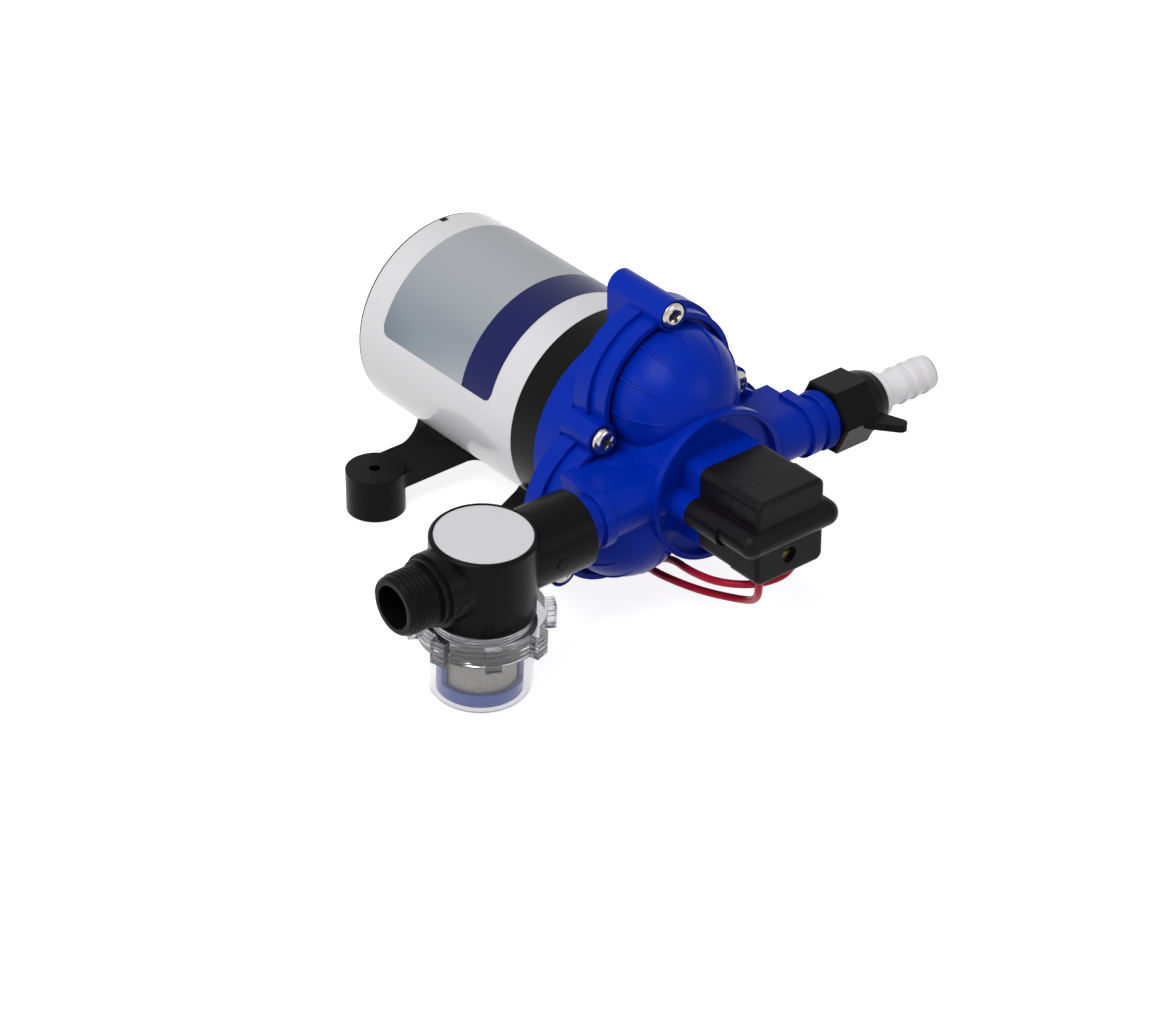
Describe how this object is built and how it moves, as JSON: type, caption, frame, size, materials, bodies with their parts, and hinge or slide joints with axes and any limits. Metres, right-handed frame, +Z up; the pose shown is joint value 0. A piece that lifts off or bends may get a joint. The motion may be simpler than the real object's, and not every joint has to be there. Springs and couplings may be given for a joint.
{
  "type": "caravan water pump",
  "caption": "Motor-driven diaphragm water pump with three-domed head, pressure switch, inlet strainer, hose-tail outlet and four-footed base.",
  "frame": {"origin": "centre of the four foot holes, in the plane that the feet stand on", "axes": "+Z up, +X along the water line from inlet to outlet, +Y along the motor, away from the pressure switch"},
  "size_m": [0.2391, 0.1998, 0.1124],
  "materials": {
    "blue_plastic": "semi-gloss moulded plastic, royal blue",
    "white_paint": "smooth white enamel",
    "black_paint": "satin black",
    "bearing_steel": "ground",
    "magnet": "dull",
    "core_steel": "stacked sheet",
    "copper_wire": "enamelled copper",
    "dark_plastic": "moulded",
    "carbon": "dull",
    "rubber": "dull",
    "white_plastic": "moulded nylon",
    "stainless": "bright",
    "switch_plastic": "satin charcoal",
    "brass": "turned",
    "black_plastic": "satin black",
    "label": "plain white disc",
    "clear_plastic": "clear moulded plastic",
    "cage_plastic": "translucent blue",
    "red_wire": "PVC insulation"
  },
  "bodies": {
    "pump": {"motor_shell": "white_paint", "motor_rear_cap": "black_paint", "motor_front_bell": "black_paint", "shaft_bearings": "bearing_steel", "motor_magnets": "magnet", "brush_holder": "dark_plastic", "carbon_brushes": "carbon", "wobble_bearing": "bearing_steel", "wobble_plate": "dark_plastic", "drive_housing": "blue_plastic", "diaphragm": "rubber", "chamber_plate": "white_plastic", "piston_caps": "white_plastic", "piston_screws": "stainless", "valve_plate": "white_plastic", "inlet_valves": "rubber", "outlet_valve": "rubber", "pump_head": "blue_plastic", "head_screws": "stainless", "pressure_diaphragm": "rubber", "switch_base": "switch_plastic", "switch_cover": "switch_plastic", "microswitch": "switch_plastic", "switch_terminals": "brass", "base_frame": "black_plastic", "lead_one": "red_wire", "lead_two": "red_wire"},
    "rotor": {"motor_shaft": "bearing_steel", "armature_core": "core_steel", "armature_windings": "copper_wire", "commutator": "copper_wire", "cam_hub": "bearing_steel"},
    "strainer": {"strainer_body": "black_plastic", "strainer_label": "label", "inlet_washer": "rubber"},
    "screen": {"screen_cage": "cage_plastic", "screen_mesh": "stainless", "bowl_seal": "rubber"},
    "bowl": {"strainer_bowl": "clear_plastic"},
    "tail": {"hose_tail": "white_plastic", "tail_washer": "rubber"},
    "nut": {"union_nut": "black_plastic"},
    "adjuster": {"adjusting_screw": "brass"},
    "plunger": {"switch_plunger": "switch_plastic", "plunger_spring": "stainless"}
  },
  "joints": [
    {"name": "rotor_spin", "type": "hinge", "parent": "pump", "child": "rotor", "pos_m": [0, 0, 0.0505], "axis": [0, 1, 0], "continuous": true},
    {"name": "strainer_swivel", "type": "hinge", "parent": "pump", "child": "strainer", "pos_m": [-0.0947, -0.0868, 0.0505], "axis": [1, 0, 0], "range_deg": [-90, 90]},
    {"name": "screen_drop", "type": "slide", "parent": "strainer", "child": "screen", "axis": [0, 0.0567, -0.9984], "range_m": [0, 0.0045]},
    {"name": "bowl_turn", "type": "hinge", "parent": "screen", "child": "bowl", "pos_m": [-0.0947, -0.0868, 0.0505], "axis": [0, 0.0567, -0.9984], "range_deg": [0, 540]},
    {"name": "tail_slide", "type": "slide", "parent": "pump", "child": "tail", "axis": [1, 0, 0], "range_m": [0, 0.00544]},
    {"name": "nut_turn", "type": "hinge", "parent": "tail", "child": "nut", "pos_m": [0.0645, -0.0868, 0.0505], "axis": [1, 0, 0], "range_deg": [0, 1080]},
    {"name": "adjust_turn", "type": "hinge", "parent": "pump", "child": "adjuster", "pos_m": [-0.0005, -0.1321, 0.0413], "axis": [0, -1, 0], "range_deg": [-360, 360]},
    {"name": "plunger_slide", "type": "slide", "parent": "pump", "child": "plunger", "axis": [0, -1, 0], "range_m": [0, 0.0007], "stiffness_N_per_m": 200}
  ],
  "couplings": [
    {"joint": "bowl_turn", "follows": "screen_drop", "rad_per_m": 2094.4},
    {"joint": "nut_turn", "follows": "tail_slide", "rad_per_m": 3463.7}
  ]
}
